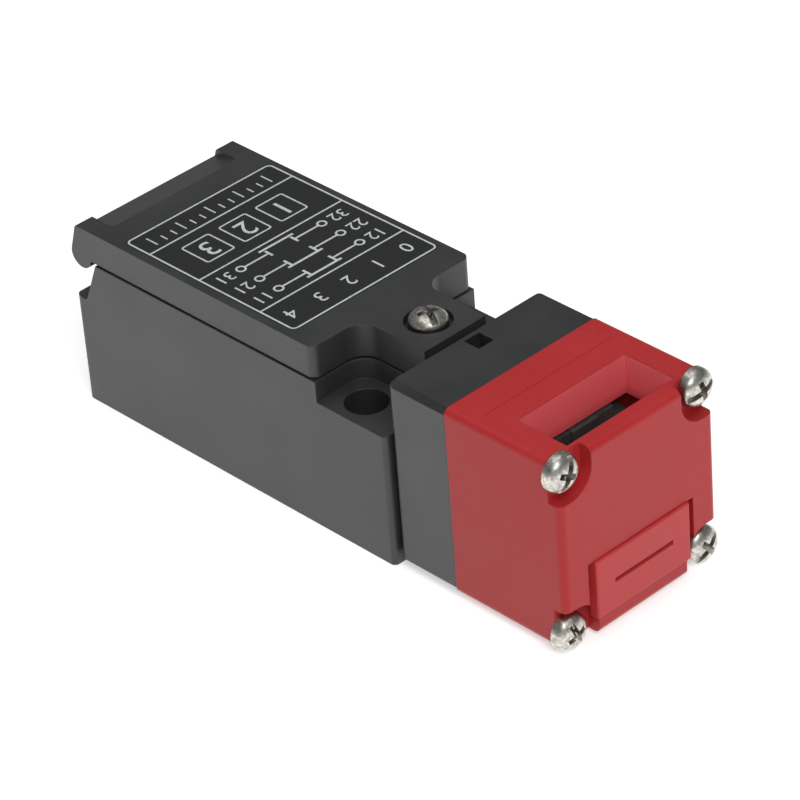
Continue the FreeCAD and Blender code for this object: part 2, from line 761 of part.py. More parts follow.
def make_cover():
    """Black lid: a shell with a round lip at the cable end and a neck for its screw."""
    half = body_width / 2 - cover_side_gap
    neck_front = base_back + cover_front_gap
    angle = math.radians(lip_angle)
    lip_back = Vector(0, hinge_y + lip_radius * math.cos(angle), hinge_z + lip_radius * math.sin(angle))
    inner_y = hinge_y - math.sqrt(lip_radius ** 2 - hinge_lift ** 2)
    lip_inner = Vector(0, inner_y, cover_bottom)
    top_back = Vector(0, case_back - lip_slope, body_height)
    corners = [Vector(0, neck_front, body_height), Vector(0, neck_front, cover_bottom)]
    outline = Part.Wire([
        line_edge(top_back, corners[0]),
        line_edge(corners[0], corners[1]),
        line_edge(corners[1], lip_inner),
        Part.Arc(lip_inner, Vector(0, hinge_y, hinge_z - lip_radius), lip_back).toShape(),
        line_edge(lip_back, top_back),
    ])
    cover = Part.Face(outline).extrude(Vector(2 * half, 0, 0))
    cover.translate(Vector(-half, 0, 0))
    for pocket in pocket_cutters(cover_bottom - 5, body_height + 5, cover_side_gap):
        cover = cover.cut(pocket)
    shoulder = edges_along(cover, "z", lambda c: abs(c.y - pocket_back) < 1 and abs(c.x) > half - 1)
    cover = cover.makeFillet(cover_corner_radius, shoulder)
    top_edge = edges_along(cover, "x", lambda c: c.z > body_height - 0.1 and c.y > 0)
    cover = cover.makeFillet(edge_radius, top_edge)

    # Inside, the seal's groove, and the locating rim
    inner = half - cover_wall
    room_y = (room_front + running_gap + rim_thickness, room_top_back - running_gap - rim_thickness)
    cover = cover.cut(box((-inner, inner), room_y, (cover_bottom - 1, body_height - cover_wall)))
    rim_half = body_width / 2 - case_wall - running_gap
    rim_inner = rim_half - rim_thickness
    rim_low = cover_bottom - rim_depth
    rim_y = (room_y[0] - rim_thickness, room_y[1] + rim_thickness)
    rim = box((-rim_half, rim_half), rim_y, (rim_low, cover_bottom + 0.1))
    rim = rim.cut(box((-rim_inner, rim_inner), room_y, (rim_low - 1, cover_bottom + 1)))
    cover = cover.fuse(rim)
    seal_top = case_top + seal_squeeze + gasket_height
    cover = cover.cut(gasket_ring(seat_gap, cover_bottom - 1, seal_top + seat_gap))

    # Sloping recess in the top of the cable end
    start = case_back - lip_slope - end_recess_length
    drop = end_recess_depth / end_recess_length
    end = case_back + 1
    recess = extrude_x([(start, body_height + 1), (start, body_height),
                        (end, body_height - drop * (end - start)), (end, body_height + 1)],
                       end_recess_width / 2)
    recess = recess.makeFillet(0.8, edges_along(recess, "z", lambda c: c.y < start + 0.1))
    cover = cover.cut(recess)

    # Screw hole and its counterbore
    sink_floor = body_height - cover_screw_sink_depth
    cover = cover.cut(rod((0, cover_screw_y, sink_floor), (0, cover_screw_y, body_height + 1),
                          cover_screw_sink_radius))
    cover = cover.cut(rod((0, cover_screw_y, cover_bottom - 1), (0, cover_screw_y, body_height),
                          cover_screw_radius + fit_gap))

    # Pockets for the hinge arms, with sockets that snap over the stubs
    for side in (-1, 1):
        cover = cover.cut(hinge_socket(side * hinge_x))
    return cover


def hinge_socket(x):
    """Space in the lip for one arm over the whole swing, and for its two stubs."""
    half = hinge_arm_width / 2 + running_gap
    radius = hinge_stub_radius
    clear = radius + running_gap
    root = case_back - groove_depth_high - hinge_arm_root - 2 * running_gap
    socket = box((x - half, x + half), (root, hinge_y + clear), (hinge_z - 5, hinge_z + clear))
    reach = hinge_arm_width / 2 + hinge_stub_length + running_gap / 2
    socket = socket.fuse(rod((x - reach, hinge_y, hinge_z), (x + reach, hinge_y, hinge_z), radius + fit_gap))
    snap = 0.8 * radius
    return socket.fuse(box((x - reach, x + reach), (hinge_y - snap, hinge_y + snap), (hinge_z - 5, hinge_z)))


def gasket_ring(gap, low, high):
    """Ring that runs round the rim of the room."""
    inset = seat_gap + gasket_width
    half = body_width / 2 - case_wall + inset
    y_range = (room_front - inset, room_top_back + inset)
    outer = box((-half - gap, half + gap), (y_range[0] - gap, y_range[1] + gap), (low, high))
    step = gasket_width + gap
    inner = box((-half + step, half - step), (y_range[0] + step, y_range[1] - step), (low - 1, high + 1))
    outer = outer.makeFillet(1.5, edges_along(outer, "z", lambda c: True))
    inner = inner.makeFillet(0.7, edges_along(inner, "z", lambda c: True))
    return outer.cut(inner)


def make_cover_gasket():
    low = case_top + seal_squeeze
    return gasket_ring(0, low, low + gasket_height)


def make_cover_screw():
    seat = body_height - cover_screw_sink_depth + screw_seal_thickness
    length = seat - case_top + cover_screw_grip
    head = rod((0, cover_screw_y, seat), (0, cover_screw_y, seat + cover_screw_head_height),
               cover_screw_head_radius)
    return head.fuse(rod((0, cover_screw_y, seat - length), (0, cover_screw_y, seat), cover_screw_radius))


def make_cover_screw_seal():
    floor = body_height - cover_screw_sink_depth
    ring = rod((0, cover_screw_y, floor), (0, cover_screw_y, floor + screw_seal_thickness),
               cover_screw_head_radius)
    return ring.cut(rod((0, cover_screw_y, floor - 1), (0, cover_screw_y, floor + 2),
                        cover_screw_radius + fit_gap))


# --- Contact block --------------------------------------------------------------------

def stack(level):
    """Distances from a contact plane towards its fixed side, for one level at rest.

    The first two levels are held open by the key head and the last one is closed.
    """
    opened = cam_stroke if level < 2 else 0.0
    plate = 2.2 if level < 2 else 2.6
    face = plate - tip_height - contact_gap - opened
    bridge = face - tip_height
    back = bridge - bridge_thickness
    spring = back - contact_spring_length
    return {"plate": plate, "face": face, "bridge": bridge, "back": back, "spring": spring}


def along(level, start, end):
    """Y range of a stretch of a level's stack."""
    sign = -1 if level < 2 else 1
    plane = contact_planes[level]
    return tuple(sorted((plane + sign * start, plane + sign * end)))


def make_contact_block():
    """Dark grey block: slider channel, a slot for each bridge, barriers and spring housing."""
    half = block_width / 2
    block = box((-half, half), (block_front, block_back), (block_bottom, block_top))
    channel = slider_width / 2 + running_gap
    block = block.cut(box((-channel, channel), (block_front - 1, block_back - block_wall),
                          (slider_bottom - running_gap, block_top + 1)))
    slot_half = bridge_length / 2 + 0.7
    slot_low = contact_z - bridge_height / 2 - 1.2
    for plane in contact_planes:
        y_range = (plane - bridge_slot_front, plane + bridge_slot_back)
        block = block.cut(box((-slot_half, slot_half), y_range, (slot_low, block_top + 1)))

    # Housing for the slider's return spring
    boss_half = slider_width / 2 + 1.0
    block = block.fuse(box((-boss_half, boss_half), (block_back - 1, block_back + spring_housing),
                           (axis_z - spring_housing_drop, block_top)))
    block = block.cut(rod((0, block_back - block_wall - 1, axis_z), (0, slider_spring_end, axis_z),
                          spring_bore_radius))

    # Barriers between the terminals
    half_wall = barrier_thickness / 2
    middles = [plane + contact_pitch / 2 for plane in contact_planes[:2]]
    middles = [block_front + half_wall] + middles + [block_back - half_wall]
    for side in (-1, 1):
        x_range = sorted((side * (lid_half + running_gap), side * half))
        for middle in middles:
            y_range = (middle - half_wall, middle + half_wall)
            block = block.fuse(box(x_range, y_range, (block_top - 1, block_top + barrier_height)))
        # Ear for the fixing screw
        x = side * block_ear_x
        ear_top = block_bottom + ear_height
        block = block.fuse(box((x - ear_width / 2, x + ear_width / 2),
                               (block_back - 1, block_back + ear_length), (block_bottom, ear_top)))
        block = block.cut(small_rod((x, ear_screw_y, 0), (x, ear_screw_y, ear_top + 1),
                                    ear_screw_radius + seat_gap))
        for plane in contact_planes:
            x = side * terminal_x
            bottom = block_top - terminal_screw_depth - screw_end_gap
            block = block.cut(small_rod((x, plane, bottom), (x, plane, block_top + 1),
                                        terminal_screw_radius + seat_gap))
    return block


def make_block_lid():
    """Plate over the slider channel, between the two rows of terminals."""
    y_range = (block_front + running_gap, block_back - running_gap)
    return box((-lid_half, lid_half), y_range, (block_top, block_top + lid_thickness))


def slider_back():
    """End of the slider behind its last window."""
    last = stack(2)["bridge"]
    return along(2, last, last + slider_end_bar)[1]


def make_contact_slider():
    """Slider with a window for each bridge and a nose that the plunger pushes."""
    half = slider_width / 2
    start = block_front + cam_stroke + running_gap
    end = slider_back()
    slider = box((-half, half), (start, end), (slider_bottom, slider_top))
    nose_start = case_front + plunger_overhang + running_gap
    slider = slider.fuse(rod((0, nose_start, axis_z), (0, start + 1, axis_z), nose_radius))
    for level in range(3):
        places = stack(level)
        y_range = along(level, places["bridge"] + seat_gap, places["spring"])
        window = bridge_height / 2 + seat_gap
        slider = slider.cut(box((-half - 1, half + 1), y_range, (contact_z - window, contact_z + window)))
    slider = slider.fuse(small_rod((0, end - 0.5, axis_z), (0, end + slider_pin_length, axis_z),
                                   slider_pin_radius))
    return slider


def make_slider_spring():
    radius = slider_pin_radius + spring_wire_radius + spring_side_gap / 2
    return coil_spring(radius, spring_wire_radius, slider_back(), slider_spring_end, 4.0, axis_z)


def make_bridge(level):
    """Copper strip that joins the two fixed contacts of a level."""
    places = stack(level)
    y_range = along(level, places["back"], places["bridge"])
    half = bridge_length / 2
    strip = box((-half, half), y_range, (contact_z - bridge_height / 2, contact_z + bridge_height / 2))
    return strip.makeChamfer(0.5, edges_along(strip, "y", lambda c: True))


def make_contact_spring(level):
    places = stack(level)
    start, end = along(level, places["spring"], places["back"])
    return coil_spring(bridge_spring_radius, bridge_spring_wire, start, end, 2.5, contact_z)


def contact_tips(start_name, rise):
    """Square silver tips at both ends of every level, standing on a face of its stack."""
    tips = []
    half = tip_size / 2
    for level in range(3):
        face = stack(level)[start_name]
        y_range = along(level, face, face + rise)
        for x in (-tip_x, tip_x):
            tips.append(box((x - half, x + half), y_range, (contact_z - half, contact_z + half)))
    return Part.makeCompound(tips)


def make_terminal(level, side):
    """Brass plate: a pad under the terminal screw and a tongue down to the fixed contact."""
    plate = stack(level)["plate"]
    tongue_y = along(level, plate, plate + plate_thickness)
    outer_x = bridge_length / 2 + 0.6
    inner_x = tip_x - tip_size / 2 - 0.1
    pad_x = sorted((side * (lid_half + running_gap), side * (block_width / 2 - 0.1)))
    far = plate + plate_thickness
    pad = box(pad_x, along(level, far - plate_length, far), (block_top, block_top + plate_thickness))
    tongue = box(sorted((side * inner_x, side * outer_x)), tongue_y,
                 (contact_z - tip_size / 2 - 1.0, block_top - running_gap))
    riser = box(sorted((side * (lid_half + running_gap), side * outer_x)), tongue_y,
                (block_top - 1, block_top + plate_thickness))
    terminal = pad.fuse(tongue).fuse(riser).removeSplitter()
    x, y = side * terminal_x, contact_planes[level]
    return terminal.cut(small_rod((x, y, block_top - 1), (x, y, block_top + 2),
                                  terminal_screw_radius + shank_clearance))


def terminal_places():
    return [(side * terminal_x, plane) for plane in contact_planes for side in (-1, 1)]


def make_clamp_washers():
    """Square clamping washers under the terminal screws."""
    low = block_top + plate_thickness
    half = washer_size / 2
    washers = []
    for x, y in terminal_places():
        washer = box((x - half, x + half), (y - half, y + half), (low, low + washer_thickness))
        hole = small_rod((x, y, low - 1), (x, y, low + 2), terminal_screw_radius + fit_gap)
        washers.append(washer.cut(hole))
    return Part.makeCompound(washers)


def make_terminal_screws():
    seat = block_top + plate_thickness + washer_thickness
    length = plate_thickness + washer_thickness + terminal_screw_depth
    screw = hidden_screw(terminal_head_radius, terminal_head_height, terminal_screw_radius, length)
    return Part.makeCompound([placed(screw, x, y, seat) for x, y in terminal_places()])


def make_block_screws():
    seat = block_bottom + ear_height
    length = ear_height + running_gap + ear_screw_grip
    screw = hidden_screw(ear_screw_head_radius, ear_screw_head_height, ear_screw_radius, length)
    return Part.makeCompound([placed(screw, side * block_ear_x, ear_screw_y, seat) for side in (-1, 1)])


# --- Build ----------------------------------------------------------------------------

parts = {
    "case": make_case(),
    "cover": make_cover(),
    "cover_gasket": make_cover_gasket(),
    "cover_screw": make_cover_screw(),
    "cover_screw_seal": make_cover_screw_seal(),
    "threaded_insert": make_threaded_insert(),
    "head_base": make_head_base(),
    "base_seal": make_base_seal(),
    "base_screws": make_base_screws(),
    "head_housing": make_head_housing(),
    "head_screws": make_head_screws(),
    "slot_plug": make_slot_plug(),
    "operating_cam": make_operating_cam(),
    "cam_pin": make_cam_pin(),
    "head_plunger": make_head_plunger(),
    "plunger_spring": make_plunger_spring(),
    "plunger_seal": make_plunger_seal(),
    "contact_block": make_contact_block(),
    "block_lid": make_block_lid(),
    "block_screws": make_block_screws(),
    "contact_slider": make_contact_slider(),
    "slider_spring": make_slider_spring(),
    "moving_tips": contact_tips("bridge", tip_height),
    "fixed_tips": contact_tips("plate", -tip_height),
    "clamp_washers": make_clamp_washers(),
    "terminal_screws": make_terminal_screws(),
}
for level in range(3):
    parts[f"contact_bridge_{level + 1}"] = make_bridge(level)
    parts[f"contact_spring_{level + 1}"] = make_contact_spring(level)
    for side, end_digit in ((-1, 1), (1, 2)):
        number = 10 * (level + 1) + end_digit
        parts[f"terminal_{number}"] = make_terminal(level, side)

os.makedirs("parts", exist_ok=True)
for node, shape in parts.items():
    shape.exportStep(f"parts/{node}.step")
print(len(parts), "parts written")
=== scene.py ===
import bpy
import math
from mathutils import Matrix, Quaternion, Vector


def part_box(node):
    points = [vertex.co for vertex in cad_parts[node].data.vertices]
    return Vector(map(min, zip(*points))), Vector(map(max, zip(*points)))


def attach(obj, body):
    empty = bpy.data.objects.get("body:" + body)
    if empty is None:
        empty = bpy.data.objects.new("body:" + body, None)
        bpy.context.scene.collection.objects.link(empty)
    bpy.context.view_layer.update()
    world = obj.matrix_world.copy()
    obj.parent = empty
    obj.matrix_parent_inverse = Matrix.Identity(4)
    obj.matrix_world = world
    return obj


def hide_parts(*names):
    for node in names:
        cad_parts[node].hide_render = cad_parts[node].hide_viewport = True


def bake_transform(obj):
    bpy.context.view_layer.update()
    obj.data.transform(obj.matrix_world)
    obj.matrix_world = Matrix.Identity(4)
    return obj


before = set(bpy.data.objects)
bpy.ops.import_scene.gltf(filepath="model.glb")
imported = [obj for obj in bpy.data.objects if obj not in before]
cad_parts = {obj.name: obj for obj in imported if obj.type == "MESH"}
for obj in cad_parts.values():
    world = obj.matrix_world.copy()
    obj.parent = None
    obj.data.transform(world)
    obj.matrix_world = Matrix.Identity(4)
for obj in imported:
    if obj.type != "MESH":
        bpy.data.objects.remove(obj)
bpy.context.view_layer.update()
MM = 0.001

# --- Case -----------------------------------------------------------------------------
# The case is one injection moulding in glass-filled nylon, black all through. Its mould
# is spark-eroded, so it has a fine matt grain, and short glass fibres near the skin give
# it a slightly cloudy shade.


def hex_colour(text):
    """sRGB hex, such as 2f3031, as the linear RGBA that a shader takes."""
    channels = [int(text[i:i + 2], 16) / 255 for i in (0, 2, 4)]
    return [c / 12.92 if c <= 0.04045 else ((c + 0.055) / 1.055) ** 2.4 for c in channels] + [1.0]


def add_node(tree, kind, inputs=None, **settings):
    """Add a shader node with its settings. An input that is given a socket is linked to it."""
    made = tree.nodes.new("ShaderNode" + kind)
    for name, value in settings.items():
        setattr(made, name, value)
    for name, value in (inputs or {}).items():
        if isinstance(value, bpy.types.NodeSocket):
            tree.links.new(value, made.inputs[name])
        else:
            made.inputs[name].default_value = value
    return made


def start_material(name):
    """An empty node material: its tree, the object coordinates and the Principled shader."""
    material = bpy.data.materials.new(name)
    material.use_nodes = True
    tree = material.node_tree
    tree.nodes.clear()
    place = add_node(tree, "TexCoord").outputs["Object"]
    shader = add_node(tree, "BsdfPrincipled")
    add_node(tree, "OutputMaterial", {"Surface": shader.outputs[0]})
    return material, tree, place, shader


def feed(tree, shader, **sockets):
    """Link sockets or set values on the shader, by input name with underscores for spaces."""
    for name, value in sockets.items():
        target = shader.inputs[name.replace("_", " ")]
        if isinstance(value, bpy.types.NodeSocket):
            tree.links.new(value, target)
        else:
            target.default_value = value


def per_metre(size_mm):
    """Noise scale that gives features of a real size."""
    return 1 / (size_mm * MM)


def moulded_plastic(name, dark, light, grain_mm, grain_height_mm, roughness, edge_mm, sheen=0.5, cloud_mm=5.0):
    """Moulded plastic: cloudy shade, fine grain, softened edges, and sheen as its mirror-like share."""
    material, tree, place, shader = start_material(name)
    cloud = add_node(tree, "TexNoise", {"Vector": place, "Scale": per_metre(cloud_mm), "Detail": 4.0})
    fleck = add_node(tree, "TexNoise", {"Vector": place, "Scale": per_metre(0.35), "Detail": 2.0})
    both = add_node(tree, "Mix", {"Factor": 0.35, "A": cloud.outputs["Fac"], "B": fleck.outputs["Fac"]})
    tone = add_node(tree, "ValToRGB", {"Fac": both.outputs["Result"]})
    tone.color_ramp.elements[0].position, tone.color_ramp.elements[1].position = 0.35, 0.65
    tone.color_ramp.elements[0].color = hex_colour(dark)
    tone.color_ramp.elements[1].color = hex_colour(light)
    shine = add_node(tree, "MapRange", {"Value": cloud.outputs["Fac"], "From Min": 0.3, "From Max": 0.7,
                                        "To Min": roughness - 0.04, "To Max": roughness + 0.04})
    soft_edge = add_node(tree, "Bevel", {"Radius": edge_mm * MM}, samples=6)
    grain = add_node(tree, "TexNoise", {"Vector": place, "Scale": per_metre(grain_mm), "Detail": 2.0})
    bump = add_node(tree, "Bump", {"Strength": 1.0, "Distance": grain_height_mm * MM,
                                   "Height": grain.outputs["Fac"], "Normal": soft_edge.outputs[0]})
    feed(tree, shader, Base_Color=tone.outputs["Color"], Roughness=shine.outputs["Result"],
         Normal=bump.outputs["Normal"], IOR=1.53, Specular_IOR_Level=sheen)
    return material


def dress(material, *names):
    """Give CAD nodes a material in place of their plain one."""
    for name in names:
        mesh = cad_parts[name].data
        mesh.materials.clear()
        mesh.materials.append(material)


# Grain is drawn at 0.3 mm, twice the real size, so that it shows.
black_nylon = moulded_plastic("black glass-filled nylon", "27282a", "363738", 0.3, 0.006, 0.5, 0.2, 0.5, 9.0)
dress(black_nylon, "case")

# --- Cable entry thread ---------------------------------------------------------------
# The entry is moulded with an M20 x 1.5 internal thread. The case carries the hole, and
# the thread's ridge is one helical strip standing in it.


def clear_selection():
    """Leave edit mode and select nothing."""
    if bpy.context.object and bpy.context.object.mode == "EDIT":
        bpy.ops.object.mode_set(mode="OBJECT")
    bpy.ops.object.select_all(action="DESELECT")


def select_faces(obj, test):
    """In edit mode, select only the faces whose centre and normal pass a test."""
    bpy.ops.object.mode_set(mode="OBJECT")
    for part in (obj.data.vertices, obj.data.edges, obj.data.polygons):
        for item in part:
            item.select = False
    for face in obj.data.polygons:
        face.select = test(face.center, face.normal)
    bpy.ops.object.mode_set(mode="EDIT")
    bpy.ops.mesh.select_mode(type="FACE")


def settle(obj, name, material, body, smooth=None):
    """Apply the place to the mesh, name the piece, and give it its material and body.

    A piece with no body given is left with no body.
    """
    clear_selection()
    obj.select_set(True)
    bpy.context.view_layer.objects.active = obj
    bpy.ops.object.transform_apply(location=True, rotation=True, scale=True)
    if smooth is not None:
        bpy.ops.object.shade_smooth_by_angle(angle=math.radians(smooth))
    obj.name = name
    obj.data.name = name
    obj.data.materials.clear()
    obj.data.materials.append(material)
    if body:
        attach(obj, body)
    return obj


def helix(radius, wire, pitch, turns, sides, steps):
    """A bar wound round Z from the origin up, as a mesh."""
    clear_selection()
    bpy.ops.mesh.primitive_circle_add(vertices=sides, radius=wire, fill_type="NOTHING",
                                      location=(radius, 0, 0), rotation=(math.pi / 2, 0, 0))
    bar = bpy.context.object
    bpy.ops.object.transform_apply(location=True, rotation=True, scale=True)
    screw = bar.modifiers.new("wind", "SCREW")
    screw.axis = "Z"
    screw.angle = 2 * math.pi * turns
    screw.screw_offset = pitch * turns
    screw.steps = screw.render_steps = int(steps * turns)
    screw.use_merge_vertices = False
    bpy.ops.object.modifier_apply(modifier=screw.name)
    bpy.ops.object.mode_set(mode="EDIT")
    bpy.ops.mesh.select_all(action="DESELECT")
    bpy.ops.mesh.select_mode(type="EDGE")
    bpy.ops.mesh.select_non_manifold()
    bpy.ops.mesh.edge_face_add()
    bpy.ops.mesh.select_all(action="SELECT")
    bpy.ops.mesh.normals_make_consistent(inside=False)
    bpy.ops.object.mode_set(mode="OBJECT")
    return bar


def lay_along_y(obj, x, y, z):
    """Turn a piece wound round Z so that it runs along +Y from a point."""
    obj.rotation_euler = (-math.pi / 2, 0, 0)
    obj.location = (x, y, z)


entry_radius = 9.6 * MM
entry_height = 11.3 * MM
entry_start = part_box("case")[1].y - 6.6 * MM
thread_pitch = 1.5 * MM
thread_ridge = 0.42 * MM
thread = helix(entry_radius, thread_ridge, thread_pitch, 4, 6, 48)
lay_along_y(thread, 0, entry_start, entry_height)
settle(thread, "entry_thread", black_nylon, "housing", 50)

# --- Cover ----------------------------------------------------------------------------
# The cover is a second moulding in the same nylon. It swings on two arms at the cable
# end, and a rubber gasket lies in a groove round its rim.

dress(black_nylon, "cover")


def rubber(name, colour):
    """Moulded rubber: dull, even, with a fine skin."""
    material, tree, place, shader = start_material(name)
    skin = add_node(tree, "TexNoise", {"Vector": place, "Scale": per_metre(0.2), "Detail": 3.0})
    tone = add_node(tree, "ValToRGB", {"Fac": skin.outputs["Fac"]})
    tone.color_ramp.elements[0].color = hex_colour(colour)
    tone.color_ramp.elements[1].color = [1.35 * c for c in hex_colour(colour)[:3]] + [1.0]
    bump = add_node(tree, "Bump", {"Strength": 1.0, "Distance": 0.004 * MM, "Height": skin.outputs["Fac"]})
    feed(tree, shader, Base_Color=tone.outputs["Color"], Normal=bump.outputs["Normal"],
         Roughness=0.75, IOR=1.52)
    return material


seal_rubber = rubber("nitrile rubber", "191919")
dress(seal_rubber, "cover_gasket", "cover_screw_seal", "base_seal", "plunger_seal")

# --- Print on the cover ---------------------------------------------------------------
# The cover's flat top is tampo-printed: a smooth dark ground and, over it, white ink in
# a thin rounded frame with the wiring diagram of the three contacts and their numbers.

print_top = 29.4 * MM
print_left, print_right = -13.4 * MM, 13.8 * MM
print_head, print_cable = 2.8 * MM, 37.1 * MM
ink_height = 0.015 * MM
line_width = 0.28 * MM
printed = []


def ink_patch(x_range, y_range, rise, corner=0.0):
    """A flat patch of ink on the cover, with rounded corners if wanted."""
    clear_selection()
    bpy.ops.mesh.primitive_plane_add(size=1, location=(sum(x_range) / 2, sum(y_range) / 2, print_top + rise))
    patch = bpy.context.object
    patch.scale = (x_range[1] - x_range[0], y_range[1] - y_range[0], 1)
    bpy.ops.object.transform_apply(location=True, rotation=True, scale=True)
    if corner:
        bpy.ops.object.mode_set(mode="EDIT")
        bpy.ops.mesh.select_all(action="SELECT")
        bpy.ops.mesh.bevel(offset=corner, segments=6, affect="VERTICES")
        bpy.ops.object.mode_set(mode="OBJECT")
    return patch


def thicken(obj):
    """Give a flat patch the thickness of the ink."""
    bpy.ops.object.mode_set(mode="EDIT")
    bpy.ops.mesh.select_all(action="SELECT")
    bpy.ops.mesh.extrude_region_move(TRANSFORM_OT_translate={"value": (0, 0, ink_height)})
    bpy.ops.mesh.select_all(action="SELECT")
    bpy.ops.mesh.normals_make_consistent(inside=False)
    bpy.ops.object.mode_set(mode="OBJECT")


def ink_line(x_range, y_range):
    """A straight stroke of white ink."""
    stroke = ink_patch(x_range, y_range, ink_height)
    thicken(stroke)
    printed.append(stroke)


def ink_frame(x_range, y_range, corner, width):
    """A closed rounded frame of white ink."""
    outline = ink_patch(x_range, y_range, ink_height, corner)
    bpy.ops.object.mode_set(mode="EDIT")
    bpy.ops.mesh.select_mode(type="FACE")
    bpy.ops.mesh.select_all(action="SELECT")
    bpy.ops.mesh.inset(thickness=width, depth=0)
    bpy.ops.mesh.delete(type="FACE")
    bpy.ops.object.mode_set(mode="OBJECT")
    thicken(outline)
    printed.append(outline)


def ink_ring(x, y, radius, width):
    """A small ring of white ink, as a terminal point in the diagram."""
    clear_selection()
    bpy.ops.mesh.primitive_circle_add(vertices=24, radius=radius, fill_type="NGON",
                                      location=(x, y, print_top + ink_height))
    ring = bpy.context.object
    bpy.ops.object.transform_apply(location=True, rotation=True, scale=True)
    bpy.ops.object.mode_set(mode="EDIT")
    bpy.ops.mesh.select_mode(type="FACE")
    bpy.ops.mesh.select_all(action="SELECT")
    bpy.ops.mesh.inset(thickness=width, depth=0)
    bpy.ops.mesh.delete(type="FACE")
    bpy.ops.object.mode_set(mode="OBJECT")
    thicken(ring)
    printed.append(ring)


def ink_number(text, x, y, height):
    """A terminal number, upright when read from the cable end."""
    clear_selection()
    bpy.ops.object.text_add(location=(x, y, print_top + ink_height), rotation=(0, 0, math.pi))
    label = bpy.context.object
    label.data.body = text
    label.data.size = height
    label.data.align_x = "CENTER"
    label.data.align_y = "CENTER"
    label.data.resolution_u = 3
    bpy.ops.object.convert(target="MESH")
    number = bpy.context.object
    bpy.ops.object.transform_apply(location=True, rotation=True, scale=True)
    thicken(number)
    printed.append(number)


ink_frame((print_left, print_right), (print_head, print_cable), 0.9 * MM, line_width)
cross_lines = [9.6 * MM, 21.9 * MM, 32.1 * MM]
for y in cross_lines:
    ink_line((print_left + line_width, print_right - line_width), (y - line_width / 2, y + line_width / 2))

# One row of the diagram for each contact: two terminal points, two leads and the bridge
row_y = [12.0 * MM, 15.8 * MM, 19.6 * MM]
for row, y in enumerate(row_y):
    closed = row < 2
    lead = 0.32 * MM
    for side in (-1, 1):
        ink_ring(side * 7.6 * MM, y, 0.8 * MM, 0.3 * MM)
        ink_line(sorted((side * 2.6 * MM, side * 6.8 * MM)), (y - lead / 2, y + lead / 2))
        ink_line(sorted((side * 2.2 * MM, side * 2.6 * MM)), (y - 0.8 * MM, y + 0.8 * MM))
        ink_number(f"{row + 1}{1 if side < 0 else 2}", side * 10.6 * MM, y, 3.0 * MM)
    bridge_y = y - 1.0 * MM if closed else y + 1.2 * MM
    ink_line((-3.2 * MM, 3.2 * MM), (bridge_y - 0.2 * MM, bridge_y + 0.2 * MM))

# Large row numbers between the second and third lines, each in its own box
for row in range(3):
    x = (6.9 - 6.9 * row) * MM
    ink_frame((x - 2.6 * MM, x + 2.6 * MM), (24.2 * MM, 30.0 * MM), 0.5 * MM, 0.26 * MM)
    ink_number(str(row + 1), x, 27.1 * MM, 5.2 * MM)

# Stroke scale near each end of the frame
for step in range(13):
    x = (10.8 - 1.8 * step) * MM
    ink_line((x - 0.12 * MM, x + 0.12 * MM), (33.2 * MM, (35.6 if step % 3 == 0 else 34.6) * MM))
for step in range(5):
    ink_number(str(step), (10.8 - 5.4 * step) * MM, 6.2 * MM, 3.4 * MM)

clear_selection()
for stroke in printed:
    stroke.select_set(True)
bpy.context.view_layer.objects.active = printed[0]
bpy.ops.object.join()
white_print = bpy.context.object


def ink(name, dark, light, roughness):
    """Printing ink: thin, with a faint unevenness from the pad."""
    material, tree, place, shader = start_material(name)
    cover_noise = add_node(tree, "TexNoise", {"Vector": place, "Scale": per_metre(0.4), "Detail": 3.0})
    tone = add_node(tree, "ValToRGB", {"Fac": cover_noise.outputs["Fac"]})
    tone.color_ramp.elements[0].position, tone.color_ramp.elements[1].position = 0.3, 0.6
    tone.color_ramp.elements[0].color = hex_colour(dark)
    tone.color_ramp.elements[1].color = hex_colour(light)
    bump = add_node(tree, "Bump", {"Strength": 1.0, "Distance": 0.002 * MM,
                                   "Height": cover_noise.outputs["Fac"]})
    feed(tree, shader, Base_Color=tone.outputs["Color"], Normal=bump.outputs["Normal"],
         Roughness=roughness, IOR=1.5)
    return material


white_ink = ink("white pad-printing ink", "bcc2c3", "d8dddd", 0.5)
ground_ink = ink("black gloss printing ground", "1b1c1d", "202122", 0.3)
settle(white_print, "cover_print", white_ink, "cover")
ground = ink_patch((print_left - 0.2 * MM, print_right + 0.2 * MM),
                   (print_head - 0.2 * MM, print_cable + 0.2 * MM), 0.002 * MM, 1.0 * MM)
thicken(ground)
settle(ground, "cover_print_ground", ground_ink, "cover")

# --- Screws ---------------------------------------------------------------------------
# Pan-head steel screws, cold-headed and nickel-plated, with a cross recess and a slot in
# one. The four long ones go through the key head; the short one holds the cover shut.


